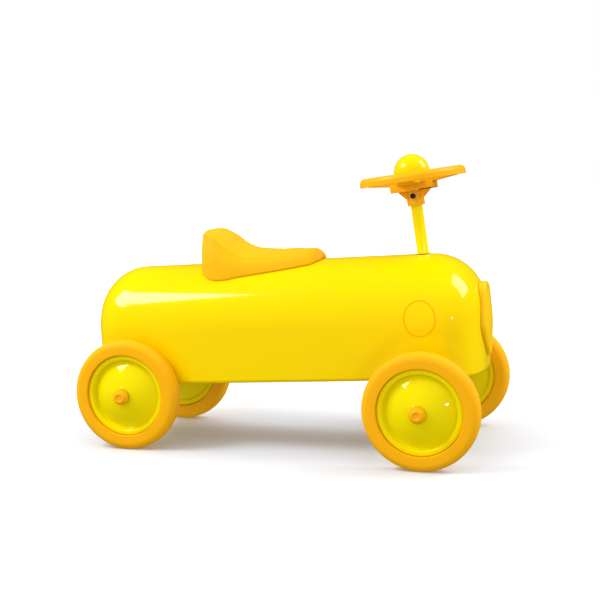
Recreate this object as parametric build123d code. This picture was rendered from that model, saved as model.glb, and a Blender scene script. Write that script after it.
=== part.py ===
from build123d import *
import os
from math import radians, sin, cos, tan, sqrt

# Foot-to-floor ride-on car for a toddler: pressed steel body, padded saddle seat,
# four rubber-tyred steel disc wheels, front axle steered by the steering wheel.
# Millimetres. X forward, Y to the left, Z up. Origin on the floor, midway between the axles.

# ---------------------------------------------------------------- driving dimensions
# stance
wheelbase = 413.0
front_track = 266.0          # between the middle planes of the front tyres
rear_track = 198.0
tyre_radius = 75.0
tyre_width = 25.0

# body: an upturned pressed tub, pitched nose up. It is drawn in its own frame:
# u forward from the rear axle, v left, w up, rotated about the floor under the rear axle
body_pitch = 2.75
body_half_width = 83.5
body_front = 482.0           # u of the nose
body_rear = -60.0            # u of the tail
body_bottom = 85.5           # w of the hem
body_top = 240.5             # w of the crown
arch_spring = 157.0          # w where the straight sides turn into the arched roof
nose_profile_radius = 67.0   # nose and tail seen from the side
tail_profile_radius = 62.0
corner_depth = 48.0          # plan corners are quarter ellipses, corner_depth by corner_width
corner_width = 68.0
sheet = 1.2                  # body sheet thickness
hem_lip = 8.0                # inward flange round the bottom
wheel_recess_depth = 3.0     # shallow pressings in the sides beside the wheels
front_recess_radius = 100.0
rear_recess_radius = 92.0

# radiator grille
grille_back = 482.2
grille_edge = 486.0          # u of the front edge, crowned further out in the middle
grille_crown = 490.0
stud_diameter = 5.0
stud_levels = (122.0, 164.0)

# saddle seat
seat_rear = 97.0
seat_front = 265.3
seat_soft_gap = 0.3
seat_base_sheet = 3.0
seat_base_inset = 9.0
seat_bolt_positions = (136.0, 222.0)
seat_bolt_diameter = 6.0
# stations along the seat: u, half width, crown's w, edge seam's w, half width at the seam
seat_stations = [
    (97.0, 26.0, 279.0, 271.0, 16.0),
    (99.2, 36.0, 284.5, 279.5, 24.0),
    (106.3, 45.5, 287.3, 284.0, 32.0),
    (119.0, 53.0, 288.0, 281.0, 38.0),
    (136.5, 54.5, 279.5, 267.0, 40.0),
    (157.0, 51.0, 264.0, 253.0, 40.0),
    (186.0, 46.5, 256.5, 249.0, 36.5),
    (215.5, 41.0, 255.0, 249.0, 31.0),
    (243.0, 34.0, 254.5, 250.5, 24.0),
    (258.5, 26.5, 253.0, 249.5, 17.0),
    (265.3, 15.0, 249.0, 246.5, 9.0),
]

# steering column and wheel
column_pitch = 7.56          # leans back from the vertical
column_diameter = 15.5
column_wall = 1.5
column_hood_x = 391.4 - wheelbase / 2     # where the column's axis passes the hood
column_hood_z = 262.7
wheel_height = 362.0         # Z of the middle of the steering wheel's rim
steering_radius = 70.4
rim_height = 11.0
rim_width = 13.0
spoke_width = 24.0
hub_disc_radius = 27.8
hub_top = 5.0                # top of the hub's collar round the horn button
horn_floor = 0.0             # floor of the groove that the horn button slides in
sleeve_diameter = 23.3
sleeve_drop = 38.4
hub_block = (57.5, 34.0, 10.0)
hub_block_top = -8.5
dome_radius = 23.6
dome_base = 5.9              # centre of the dome above the rim's middle plane
dome_wall = 2.0
horn_travel = 3.5
spring_radius = 7.0
spring_wire = 1.0
spring_turns = 6
spring_seat = 3.0            # height of the ring that keeps the spring in the middle

# road wheels
rim_radius = 55.0
hub_inner = 11.0             # from the tyre's middle plane to the hub's inner end
hub_outer = 18.0             # and to its outer end
disc_dome_radius = 70.6      # the outer disc's face is part of a sphere
disc_dome_reach = 44.5
hub_bush_radius = 8.1
axle_diameter = 10.0
disc_sheet = 1.2
washer_thickness = 1.2
washer_radius = 10.0
cap_length = 10.0
cap_wall = 3.0
cap_radius = 10.8
cap_tip_radius = 6.3

# front steering gear
kingpin_y = 75.0
kingpin_diameter = 8.0
knuckle_radius = 9.0
steering_arm = 35.0
beam_depth = 26.0            # clear height between the beam's flanges
beam_sheet = 3.0
beam_half_length = 86.0
stub_boss_radius = 8.0
arm_thickness = 4.0
arm_width = 16.0
tie_thickness = 4.0
tie_width = 14.0
tie_pin_diameter = 7.0
crank_level = 97.0           # Z at which the crank's middle plane meets the column axis
crank_radius = 37.0
mount_sheet = 2.5
stand_pad = (22.0, 60.0, 1.5)   # flat pad under the beam, for a display stand
steering_arm_rise = 7.0      # top of the steering arms above the axle

# carriers riveted under the hem, and what carries the rear axle
rivet_radius = 2.4
rivet_head = 4.2
rivet_v = body_half_width - wheel_recess_depth - 5.6
rear_plate_half = 34.0
front_plate_back = 46.0
front_plate_front = 20.0
carrier_ear_y = 66.0
ear_thickness = 3.0
ear_radius = 13.0
axle_bush_radius = 6.5
spacer_radius = 7.0

# bushes of the column, and the screw that clamps the steering wheel on it
lower_bush_radius = 11.0
lower_bush_level = 104.2     # Z where the lower bush's middle meets the column axis
lower_bush_length = 8.0
upper_bush_radius = 13.0
upper_bush_length = 16.0
wheel_screw_level = -25.5
wheel_screw_radius = 2.5
wheel_screw_head = 3.4

# clearances
run_gap = 0.3                # axial, between turning faces
bore_fit = 0.05              # radial, shafts in their bushes
hole_fit = 0.1               # radial, bolts and rivets in their holes
part_gap = 0.3               # between pieces that don't touch
crank_slot_gap = 1.6         # open end of the steering linkage

# ---------------------------------------------------------------- places and helpers
axle_z = tyre_radius
front_x = wheelbase / 2
rear_x = -wheelbase / 2
rear_hub_inner = rear_track / 2 - hub_inner
beam_low = axle_z - beam_depth / 2
beam_high = axle_z + beam_depth / 2
arm_top = axle_z + steering_arm_rise
tie_low = arm_top + run_gap
BODY = Location((rear_x, 0, 0), (0, -body_pitch, 0))
column_lean = tan(radians(column_pitch))
WHEEL = Location(
    (column_hood_x - column_lean * (wheel_height - column_hood_z), 0, wheel_height),
    (0, -column_pitch, 0),
)
SIDES = {"left": 1, "right": -1}

os.makedirs("parts", exist_ok=True)


def save(name, *pieces):
    shape = pieces[0] if len(pieces) == 1 else Compound(list(pieces))
    export_step(shape, f"parts/{name}.step")


def column_x(z):
    return column_hood_x - column_lean * (z - column_hood_z)


def on_column(z):
    """Place on the column's axis at the floor height z, with Z along the axis."""
    return Location((column_x(z), 0, z), (0, -column_pitch, 0))


def rod_z(radius, low, high, x=0.0, y=0.0):
    return Pos(x, y, (low + high) / 2) * Cylinder(radius, high - low)


def rod_y(radius, start, end, x=0.0, z=0.0):
    return Pos(x, (start + end) / 2, z) * Rot(90, 0, 0) * Cylinder(radius, abs(end - start))


def block(x0, x1, y0, y1, z0, z1):
    return Pos((x0 + x1) / 2, (y0 + y1) / 2, (z0 + z1) / 2) * Box(x1 - x0, y1 - y0, z1 - z0)


def turned(points):
    """Solid of revolution about Y from a closed (radius, y) outline."""
    return revolve(make_face(Polyline(*points, close=True)), Axis.Y)


def turned_z(points):
    """Solid of revolution about Z from a closed (radius, z) outline."""
    flat = make_face(Polyline(*[(r, 0, z) for r, z in points], close=True))
    return revolve(flat, Axis.Z)


# ---------------------------------------------------------------- body shell
def quarter(distance, reach):
    """How far a quarter circle or ellipse has closed at a distance along its reach, from 1 to 0."""
    share = min(max(distance / reach, 0.0), 1.0)
    return sqrt(1 - share * share)


def section_size(u, inset):
    """Half width and crown height of the body's section at u, for walls moved in by inset."""
    half = body_half_width - inset
    width, depth = corner_width - inset, corner_depth - inset
    past_corner = max(u - (body_front - corner_depth), (body_rear + corner_depth) - u)
    half_here = half - width + width * quarter(past_corner, depth)
    if u > wheelbase / 2:
        radius, past = nose_profile_radius, u - (body_front - nose_profile_radius)
    else:
        radius, past = tail_profile_radius, (body_rear + tail_profile_radius) - u
    radius -= inset
    crown = body_top - inset - radius + radius * quarter(past, radius)
    return half_here, crown


def body_section(u, inset, bottom):
    half, crown = section_size(u, inset)
    across = Plane(origin=(u, 0, arch_spring), x_dir=(0, 1, 0), z_dir=(1, 0, 0))
    arch = Edge.make_ellipse(half, crown - arch_spring, across, 0, 180)
    return Wire([
        Line((u, half, bottom), (u, half, arch_spring)),
        arch,
        Line((u, -half, arch_spring), (u, -half, bottom)),
        Line((u, -half, bottom), (u, half, bottom)),
    ])


def loaf(inset, bottom):
    """The solid inside the body's outer surface moved in by inset, down to the height bottom."""
    turns = [sin(radians(a)) for a in (0, 12, 24, 36, 48, 58, 67, 75, 81, 86)]
    nose_start = body_front - nose_profile_radius
    tail_start = body_rear + tail_profile_radius
    nose = [nose_start + (nose_profile_radius - inset) * t for t in turns]
    tail = [tail_start - (tail_profile_radius - inset) * t for t in turns]
    solid = Solid.make_loft([body_section(nose_start, inset, bottom), body_section(tail_start, inset, bottom)])
    for stations in (nose, tail):
        solid += Solid.make_loft([body_section(u, inset, bottom) for u in stations])
    return solid


def recesses(growth):
    """Round pressings beside the wheels, as cutters that reach in from outside both sides."""
    depth = body_half_width - wheel_recess_depth - growth
    cutters = []
    for x, radius in ((front_x, front_recess_radius), (rear_x, rear_recess_radius)):
        for side in (1, -1):
            cutters.append(rod_y(radius + growth, side * depth, side * (body_half_width + 20), x, axle_z))
    return [BODY.inverse() * c for c in cutters]


def hood_hole():
    return BODY.inverse() * on_column(column_hood_z) * Cylinder(column_diameter / 2 + 1.5, 60)


def body_shell():
    outer = loaf(0, body_bottom)
    inner = loaf(sheet, body_bottom + sheet)
    for cutter in recesses(0):
        outer -= cutter
    for cutter in recesses(sheet):
        inner -= cutter
    mouth = loaf(hem_lip, body_bottom - 5)
    mouth &= block(body_rear, body_front, -200, 200, body_bottom - 5, body_bottom + 3)
    shell = outer - inner - mouth - hood_hole()
    for position in seat_bolt_positions:
        shell -= rod_z(seat_bolt_diameter / 2 + hole_fit, body_top - 10, body_top + 10, position)
    for level in stud_levels:
        shell -= Pos(body_front, 0, level) * Rot(0, 90, 0) * Cylinder(stud_diameter / 2 + hole_fit, 20)
    for u, v in rear_rivets() + front_rivets():
        shell -= rod_z(rivet_radius + hole_fit, body_bottom - 5, body_bottom + 5, u, v)
    return shell


def rear_rivets():
    return [(u, v) for u in (-24.0, 24.0) for v in (rivet_v, -rivet_v)]


def front_rivets():
    return [(u, v) for u in (wheelbase - 36.0, wheelbase + 10.0) for v in (rivet_v, -rivet_v)]


def rivet(u, v):
    """Rivet through the hem lip and the plate under it, with a low head on each side."""
    low, high = body_bottom - mount_sheet, body_bottom + sheet
    shank = rod_z(rivet_radius, low - 0.8, high + 0.8, u, v)
    heads = rod_z(rivet_head, low - 1.6, low, u, v) + rod_z(rivet_head, high, high + 1.6, u, v)
    return BODY * (shank + heads)


# ---------------------------------------------------------------- rear axle
def rear_axle_carrier():
    plate = block(-rear_plate_half, rear_plate_half, -body_half_width + 4.5, body_half_width - 4.5,
                  body_bottom - mount_sheet, body_bottom)
    for u, v in rear_rivets():
        plate -= rod_z(rivet_radius + hole_fit, body_bottom - 5, body_bottom + 5, u, v)
    plate = BODY * plate
    above = BODY * block(-100, 100, -200, 200, body_bottom - mount_sheet / 2, body_bottom + 60)
    for side in (1, -1):
        y0, y1 = sorted((side * carrier_ear_y, side * (carrier_ear_y + ear_thickness)))
        ear = rod_y(ear_radius, y0, y1, rear_x, axle_z)
        ear += block(rear_x - 22, rear_x + 22, y0, y1, axle_z + 6, body_bottom + 8)
        ear += block(rear_x - ear_radius, rear_x + ear_radius, y0, y1, axle_z, axle_z + 8)
        plate += ear - above
    return plate - rod_y(axle_bush_radius + hole_fit, -90, 90, rear_x, axle_z)


def rear_bush(side):
    """Flanged nylon bush in the carrier's ear."""
    inside = carrier_ear_y - 3
    outside = carrier_ear_y + ear_thickness
    body = rod_y(axle_bush_radius, side * inside, side * (outside + 2), rear_x, axle_z)
    flange = rod_y(axle_bush_radius + 1.0, side * outside, side * (outside + 2), rear_x, axle_z)
    return body + flange - rod_y(axle_diameter / 2 + bore_fit, -100, 100, rear_x, axle_z)


def rear_spacer(side):
    start = carrier_ear_y + ear_thickness + 2
    end = rear_hub_inner - run_gap - washer_thickness
    tube = rod_y(spacer_radius, side * start, side * end, rear_x, axle_z)
    return tube - rod_y(axle_diameter / 2 + bore_fit, -100, 100, rear_x, axle_z)


def axle_end(track):
    """Y of the end of the threaded axle inside the cap nut."""
    return track / 2 + hub_outer + run_gap + washer_thickness + cap_length - cap_wall - 0.5


# ---------------------------------------------------------------- road wheels
def tyre():
    flat = make_face(Polyline((rim_radius, -tyre_width / 2), (tyre_radius, -tyre_width / 2),
                              (tyre_radius, tyre_width / 2), (rim_radius, tyre_width / 2), close=True))
    outer_corners = flat.vertices().sort_by(Axis.X)[-2:]
    flat = fillet(outer_corners, 10.0)
    inner_corners = flat.vertices().sort_by(Axis.X)[:2]
    flat = fillet(inner_corners, 1.2)
    bead = Polyline((rim_radius + 3, -5.6), (rim_radius - 3.2, -3.4), (rim_radius - 3.2, 3.4),
                    (rim_radius + 3, 5.6), close=True)
    flat = flat + make_face(bead)
    rim_seat = [(rim_radius - 1, 9.4), (rim_radius + part_gap, 9.4), (rim_radius + part_gap, 5.3),
                (rim_radius - 1, 5.0)]
    for mirrored in (1, -1):
        flat -= make_face(Polyline(*[(r, y * mirrored) for r, y in rim_seat], close=True))
    return revolve(flat, Axis.Y)


def inner_disc():
    """Flat pressed steel half of a wheel, facing +Y: hub collar, web, groove, bead and tyre channel."""
    bore = hub_bush_radius + bore_fit
    r = rim_radius
    face = [(bore, 10.3), (12.5, 10.3), (13.6, 9.3), (25, 8.7), (36, 7.4), (r - 10, 6.0), (r - 8.5, 5.0),
            (r - 7.6, 8.0), (r - 6.0, 9.0), (r - 2.0, 9.0), (r, 7.8), (r, 5.6), (r - 3.6, 4.0), (r - 3.6, 0)]
    back = [(r - 4.8, 0), (r - 4.8, 4.6), (r - 1.3, 6.2), (r - 1.5, 7.2), (r - 2.6, 7.8), (r - 5.5, 7.8),
            (r - 6.5, 7.2), (r - 7.4, 4.2), (r - 8.5, 3.7), (r - 10.1, 4.8), (36, 6.2), (25, 7.5),
            (13.2, 8.1), (12.0, 9.1), (bore, 9.1)]
    return turned(face + back)


def dome_y(radius, inset):
    """y of the outer disc's domed face at a radius; inset goes back into the sheet."""
    sphere = disc_dome_radius - inset
    return hub_outer - disc_dome_radius + sqrt(sphere ** 2 - radius ** 2)


def outer_disc():
    """Domed pressed steel half of a wheel, facing +Y: hub collar, dome, groove, bead and tyre channel."""
    bore = hub_bush_radius + bore_fit
    r = rim_radius
    collar = hub_outer - 0.7
    steps = (13.6, 18, 23, 28, 33, 37, 41, disc_dome_reach)
    face = [(bore, collar), (12.5, collar)] + [(at, dome_y(at, 0)) for at in steps]
    face += [(r - 9.4, 1.9), (r - 8.4, 2.6), (r - 7.0, 7.4), (r - 5.6, 9.0), (r - 2.0, 9.0), (r, 7.8),
             (r, 5.6), (r - 3.6, 4.0), (r - 3.6, 0)]
    back = [(r - 4.8, 0), (r - 4.8, 4.6), (r - 1.3, 6.2), (r - 1.5, 7.2), (r - 2.4, 7.8), (r - 5.1, 7.8),
            (r - 5.9, 7.0), (r - 7.3, 2.2), (r - 8.6, 0.9), (r - 10.0, 0.7)]
    back += [(at - 0.6, dome_y(at - 0.6, disc_sheet)) for at in reversed(steps)]
    back += [(12.0, collar - disc_sheet), (bore, collar - disc_sheet)]
    return turned(face + back)


def hub_bush():
    tube = rod_y(hub_bush_radius, -hub_inner, hub_outer)
    return tube - rod_y(axle_diameter / 2 + bore_fit, -2 * hub_outer, 2 * hub_outer)


def washer():
    ring = Rot(90, 0, 0) * Cylinder(washer_radius, washer_thickness)
    return ring - Rot(90, 0, 0) * Cylinder(axle_diameter / 2 + bore_fit, 4)


def cap_nut():
    """Rounded cap nut facing +Y, its seat at y = 0."""
    dome = [(0, 0), (cap_radius, 0), (cap_radius, 2.2), (cap_radius - 0.5, 4.4), (cap_radius - 1.6, 6.6),
            (cap_radius - 3.0, 8.6), (cap_tip_radius, cap_length), (0, cap_length)]
    bore = [(0, -1), (axle_diameter / 2 + bore_fit, -1), (axle_diameter / 2 + bore_fit, cap_length - cap_wall),
            (0, cap_length - cap_wall)]
    return turned(dome) - turned(bore)


def road_wheel(end, side_name, x, track):
    side = SIDES[side_name]
    name = f"{end}_{side_name}"
    place = Location((x, side * track / 2, axle_z), (0, 0, 0 if side > 0 else 180))
    save(f"tyre_{name}", place * tyre())
    save(f"outer_disc_{name}", place * outer_disc())
    save(f"inner_disc_{name}", place * Rot(0, 0, 180) * inner_disc())
    save(f"hub_bush_{name}", place * hub_bush())
    gap = run_gap + washer_thickness / 2
    save(f"washers_{name}", place * Pos(0, hub_outer + gap, 0) * washer(),
         place * Pos(0, -hub_inner - gap, 0) * washer())
    save(f"cap_nut_{name}", place * Pos(0, hub_outer + gap + washer_thickness / 2, 0) * cap_nut())


# ---------------------------------------------------------------- front subframe and steering gear
def front_subframe():
    """C-section beam that holds both kingpins, hung from a plate under the body's hem."""
    x0, x1 = front_x - 13, front_x + 17
    length = beam_half_length
    beam = block(x1 - beam_sheet, x1, -length, length, beam_low - beam_sheet, beam_high + beam_sheet)
    beam += block(x0, x1, -length, length, beam_high, beam_high + beam_sheet)
    beam += block(x0, x1, -length, length, beam_low - beam_sheet, beam_low)
    depth, width, rise = stand_pad
    pad_low = beam_low - beam_sheet - rise
    beam += block(x0 + 4, x0 + 4 + depth, -width / 2, width / 2, pad_low, beam_low - 1)
    for side in (1, -1):
        beam -= rod_z(kingpin_diameter / 2 + bore_fit, 0, 200, front_x, side * kingpin_y)
    plate = block(wheelbase - front_plate_back, wheelbase + front_plate_front, -body_half_width + 4.5,
                  body_half_width - 4.5, body_bottom - mount_sheet, body_bottom)
    for u, v in front_rivets():
        plate -= rod_z(rivet_radius + hole_fit, body_bottom - 5, body_bottom + 5, u, v)
    plate = BODY * plate
    above = BODY * block(300, 500, -200, 200, body_bottom - mount_sheet / 2, body_bottom + 60)
    for side in (1, -1):
        y0, y1 = sorted((side * 52, side * 55))
        plate += block(x0, x1, y0, y1, beam_high + beam_sheet / 2, 120) - above
    bore = on_column(104) * Cylinder(lower_bush_radius + hole_fit, 40)
    return beam + plate - bore


def column_lower_bush():
    at = on_column(lower_bush_level)
    bush = at * Cylinder(lower_bush_radius, lower_bush_length)
    seat = at * Pos(0, 0, lower_bush_length / 2 + 1) * Cylinder(lower_bush_radius + 3, 2)
    return bush + seat - at * Cylinder(column_diameter / 2 + bore_fit, 40)


def column_upper_bush(shell):
    at = on_column(column_hood_z - upper_bush_length / 2 - 1)
    bush = at * Cylinder(upper_bush_radius, upper_bush_length)
    bush -= at * Cylinder(column_diameter / 2 + bore_fit, 60)
    bush &= BODY * loaf(0.2, body_bottom)
    trimmed = bush - shell
    return trimmed.solids().sort_by(SortBy.VOLUME)[-1]


def steering_column():
    """Steel tube with the crank welded to its foot and the crank's drive pin."""
    foot = crank_level - 2
    top = wheel_height - 4
    length = (top - foot) / cos(radians(column_pitch))
    low = on_column(foot)
    tube = low * Pos(0, 0, length / 2) * Cylinder(column_diameter / 2, length)
    tube -= low * Pos(0, 0, length / 2 + 6) * Cylinder(column_diameter / 2 - column_wall, length)
    at = on_column(crank_level)
    crank = at * (Cylinder(column_diameter / 2 + 2, 4)
                  + block(-crank_radius, 0, -8, 8, -2, 2)
                  + Pos(-crank_radius, 0, 0) * Cylinder(8, 4))
    pin = at * Pos(-crank_radius, 0, -7) * Cylinder(tie_pin_diameter / 2, 14)
    screw_hole = WHEEL * Pos(0, 0, wheel_screw_level) * Rot(90, 0, 0) * Cylinder(wheel_screw_radius + hole_fit, 40)
    return tube + crank + pin - screw_hole


def column_collar():
    """Clamp ring that carries the column on the lower bush."""
    level = lower_bush_level + lower_bush_length / 2 + 2 + run_gap + 4 + 0.2
    at = on_column(level)
    return at * Cylinder(column_diameter / 2 + 4, 8) - at * Cylinder(column_diameter / 2 + bore_fit / 2, 20)


def knuckle(side):
    y = side * kingpin_y
    tube = rod_z(knuckle_radius, beam_low + run_gap, beam_high - run_gap, front_x, y)
    boss_end = front_track / 2 - hub_inner - run_gap - washer_thickness
    boss = rod_y(stub_boss_radius, y, side * boss_end, front_x, axle_z)
    axle = rod_y(axle_diameter / 2, y, side * axle_end(front_track), front_x, axle_z)
    arm = block(front_x - steering_arm, front_x, y - arm_width / 2, y + arm_width / 2,
                arm_top - arm_thickness, arm_top)
    arm += rod_z(arm_width / 2, arm_top - arm_thickness, arm_top, front_x - steering_arm, y)
    solid = tube + boss + axle + arm
    solid -= rod_z(kingpin_diameter / 2 + bore_fit, 0, 200, front_x, y)
    return solid - rod_z(tie_pin_diameter / 2 + bore_fit, 0, 200, front_x - steering_arm, y)


def kingpin(side):
    """Bolt down through the beam and the knuckle."""
    y = side * kingpin_y
    low = beam_low - beam_sheet - 7
    top = beam_high + beam_sheet
    shank = rod_z(kingpin_diameter / 2, low, top, front_x, y)
    head = Pos(front_x, y, top) * extrude(RegularPolygon(6.5, 6), 4)
    return shank + head


def kingpin_nut(side):
    y = side * kingpin_y
    low = beam_low - beam_sheet - 6
    nut = Pos(front_x, y, low) * extrude(RegularPolygon(6.5, 6), 6)
    return nut - rod_z(kingpin_diameter / 2 + bore_fit, 0, 100, front_x, y)


def tie_rod():
    """Flat link between the two steering arms, with a slot in the middle for the crank's pin."""
    x = front_x - steering_arm
    high = tie_low + tie_thickness
    bar = block(x - tie_width / 2, x + tie_width / 2, -kingpin_y, kingpin_y, tie_low, high)
    bar += block(x - 12, x + 12, -16, 16, tie_low, high)
    for side in (1, -1):
        bar += rod_z(tie_width / 2, tie_low, high, x, side * kingpin_y)
    bar -= rod_z(tie_pin_diameter / 2 + bore_fit, 0, 200, x, kingpin_y)
    bar -= rod_z(tie_pin_diameter / 2 + 0.6, 0, 200, x, -kingpin_y)
    pin_z = tie_low + tie_thickness / 2
    pin_x = on_column(crank_level).position.X - crank_radius * cos(radians(column_pitch))
    pin_x += column_lean * (crank_level - crank_radius * sin(radians(column_pitch)) - pin_z)
    slot = tie_pin_diameter / 2 + crank_slot_gap
    bar -= rod_z(slot, 0, 200, pin_x, 0)
    return bar


def tie_pin(side):
    """Shouldered pin up through a steering arm and the tie rod, with a head each side."""
    x, y = front_x - steering_arm, side * kingpin_y
    low = arm_top - arm_thickness
    high = tie_low + tie_thickness + run_gap
    pin = rod_z(tie_pin_diameter / 2, low - 2, high + 2, x, y)
    return pin + rod_z(5.5, low - 2, low, x, y) + rod_z(5.0, high, high + 1.6, x, y)


# ---------------------------------------------------------------- steering wheel and horn
def steering_wheel():
    r = steering_radius
    half = rim_height / 2
    rim = turned_z([(r - rim_width, half - 2.5), (r - rim_width + 2.5, half + 0.5), (r - 6, half + 0.5),
                    (r - 2.2, half - 1.5), (r - 0.4, half - 4.5), (r, 0), (r, -half),
                    (r - rim_width, -half)])
    hub = Pos(0, 0, (hub_block_top + hub_top) / 2) * Cylinder(hub_disc_radius, hub_top - hub_block_top)
    spokes = None
    for turn in range(4):
        spoke = Rot(0, 0, 90 * turn) * block(hub_disc_radius - 6, r - 5, -spoke_width / 2, spoke_width / 2, -7.5, -1.5)
        spokes = spoke if spokes is None else spokes + spoke
    x, y, z = hub_block
    block_solid = Pos(0, 0, hub_block_top - z / 2) * Box(x, y, z)
    sleeve = Pos(0, 0, -(sleeve_drop + 8) / 2) * Cylinder(sleeve_diameter / 2, sleeve_drop - 8)
    solid = rim + hub + spokes + block_solid + sleeve
    rib_top = hub_block_top - z
    rib = make_face(Polyline((-22, 0, rib_top + 1), (22, 0, rib_top + 1), (22, 0, rib_top - 1),
                             (10, 0, rib_top - 11), (-10, 0, rib_top - 11), (-22, 0, rib_top - 1), close=True))
    for v in (-9.0, 9.0):
        solid += Pos(0, v + 1.5, 0) * extrude(rib, 3, dir=(0, -1, 0))
    solid -= Pos(0, 0, -25) * Cylinder(column_diameter / 2 + bore_fit, 42)
    depth = hub_top + 1 - horn_floor
    solid -= Pos(0, 0, horn_floor + depth / 2) * Cylinder(dome_radius + part_gap, depth)
    solid += Pos(0, 0, horn_floor + spring_seat / 2 - 0.5) * (Cylinder(spring_radius + 3, spring_seat + 1)
                                                              - Cylinder(spring_radius + 1, spring_seat + 1))
    solid -= Pos(0, 0, wheel_screw_level) * Rot(90, 0, 0) * Cylinder(wheel_screw_radius + hole_fit, 60)
    return WHEEL * solid


def wheel_screw():
    at = WHEEL * Pos(0, 0, wheel_screw_level) * Rot(90, 0, 0)
    reach = sleeve_diameter / 2
    shank = at * Cylinder(wheel_screw_radius, 2 * reach + 6)
    head = at * Pos(0, 0, reach + 2.5 + 0.5) * Cylinder(wheel_screw_head, 3)
    return shank + head


def horn_dome():
    r = dome_radius
    outer = Pos(0, 0, dome_base) * Sphere(r) & Pos(0, 0, dome_base + r) * Box(3 * r, 3 * r, 2 * r)
    skirt = dome_base - (horn_floor + horn_travel + part_gap)
    outer += Pos(0, 0, dome_base - skirt / 2) * Cylinder(r, skirt)
    inner = Pos(0, 0, dome_base) * Sphere(r - dome_wall) & Pos(0, 0, dome_base + r) * Box(3 * r, 3 * r, 2 * r)
    inner += Pos(0, 0, dome_base - skirt / 2) * Cylinder(r - dome_wall, skirt + 1)
    return WHEEL * (outer - inner)


def horn_spring():
    """Coil spring between the hub and the inside of the dome's top."""
    low = horn_floor + spring_wire / 2
    high = dome_base + sqrt((dome_radius - dome_wall) ** 2 - spring_radius ** 2) - spring_wire - part_gap
    coil = Helix((high - low) / spring_turns, high - low, spring_radius, center=(0, 0, low))
    section = Plane(coil @ 0, z_dir=coil % 0) * Circle(spring_wire / 2)
    return WHEEL * sweep(section, path=coil)


# ---------------------------------------------------------------- grille
def grille_outline():
    side = [(0, 200.5), (12, 199.3), (21.5, 191.5), (28, 174), (33, 155), (33, 142), (25, 127), (12, 111.5)]
    left = [(v, w) for v, w in side]
    right = [(-v, w) for v, w in reversed(side[1:])]
    return left + [(0, 102.8)] + right


def grille_plate(grow, back, front):
    points = [(back, v * (1 + grow), 151 + (w - 151) * (1 + grow)) for v, w in grille_outline()]
    top, tip = points[0], points[8]
    left = Spline(*points[0:9], tangents=((0, 1, 0), (0, -0.8, -1)))
    right = Spline(*(points[8:] + [top]), tangents=((0, -0.8, 1), (0, 1, 0)))
    return extrude(make_face(Wire([left, right])), front - back, dir=(1, 0, 0))


def grille():
    plate = grille_plate(0, grille_back, grille_edge)
    plate += grille_crown_steps()
    for level in stud_levels:
        start = body_front - 12
        plate += Pos((start + grille_back) / 2 + 1, 0, level) * Rot(0, 90, 0) * Cylinder(
            stud_diameter / 2, grille_back - start + 2)
    return BODY * plate


def grille_crown_steps():
    """Crowned middle of the grille: three steps that stand further out towards the middle."""
    crown = grille_plate(-0.10, grille_edge - 1, grille_edge + 1.6)
    crown += grille_plate(-0.25, grille_edge, grille_edge + 2.9)
    return crown + grille_plate(-0.5, grille_edge, grille_crown)


def grille_clip(level):
    """Push nut on a stud inside the nose."""
    u = body_front - sheet
    at = Pos(u - 1.2, 0, level) * Rot(0, 90, 0)
    ring = at * Cylinder(7, 2) - at * Cylinder(stud_diameter / 2 + bore_fit, 10)
    return BODY * ring


# ---------------------------------------------------------------- seat


def roof(v):
    """w of the body's roof at v, for the straight part of the body."""
    return arch_spring + (body_top - arch_spring) * sqrt(1 - (v / body_half_width) ** 2)


def seat_section(u, half, crown, seam, seam_half, lift):
    bottom = [(u, half * t / 4, roof(half * t / 4) + lift) for t in range(-4, 5)]
    top = [(u, seam_half * t, seam + (crown - seam) * (1 - t * t)) for t in (1, 0.5, 0, -0.5, -1)]
    return Wire([
        Spline(*bottom),
        Line(bottom[-1], top[0]),
        Spline(*top),
        Line(top[-1], bottom[0]),
    ])


def seat_cushion(base):
    solid = Solid.make_loft([seat_section(*s, seat_soft_gap) for s in seat_stations])
    solid -= base
    return solid.solids().sort_by(SortBy.VOLUME)[-1]


def seat_base_solid(inset, low, high):
    stations = []
    for u, half, crown, seam, seam_half in seat_stations[1:-1]:
        here = min(max(u, seat_rear + inset), seat_front - inset)
        stations.append((here, half - inset))
    stations = sorted(set(stations))
    sections = []
    for u, half in stations:
        across = [half * t / 4 for t in range(-4, 5)]
        under = [(u, v, roof(v) + low) for v in across]
        over = [(u, v, roof(v) + high) for v in reversed(across)]
        sections.append(Wire([Spline(*under), Line(under[-1], over[0]), Spline(*over), Line(over[-1], under[0])]))
    return Solid.make_loft(sections)


def seat_bolt(u):
    """Bolt from inside the body, through the roof, into the seat base."""
    under = body_top - sheet
    low = under - 2.0
    head = Pos(u, 0, low - 4) * extrude(RegularPolygon(5, 6), 4)
    return BODY * (head + rod_z(seat_bolt_diameter / 2, low - 1, body_top + seat_base_sheet - 0.5, u))


def seat_washer(u):
    under = body_top - sheet - 0.5
    ring = rod_z(7, under - 1.25, under, u) - rod_z(seat_bolt_diameter / 2 + hole_fit, 0, 400, u)
    return BODY * ring


# ---------------------------------------------------------------- build
shell = BODY * body_shell()
save("body_shell", shell)
save("grille", grille())
save("grille_clips", *[grille_clip(level) for level in stud_levels])

base = seat_base_solid(seat_base_inset, part_gap, seat_base_sheet)
base_hollow = seat_base_solid(seat_base_inset - part_gap, -1, seat_base_sheet + part_gap)
cushion = seat_cushion(base_hollow)
for position in seat_bolt_positions:
    base -= rod_z(seat_bolt_diameter / 2 + hole_fit, body_top - 5, body_top + 5, position)
save("seat_cushion", BODY * cushion)
save("seat_base", BODY * base)
save("seat_bolts", *[seat_bolt(u) for u in seat_bolt_positions])
save("seat_washers", *[seat_washer(u) for u in seat_bolt_positions])

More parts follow.
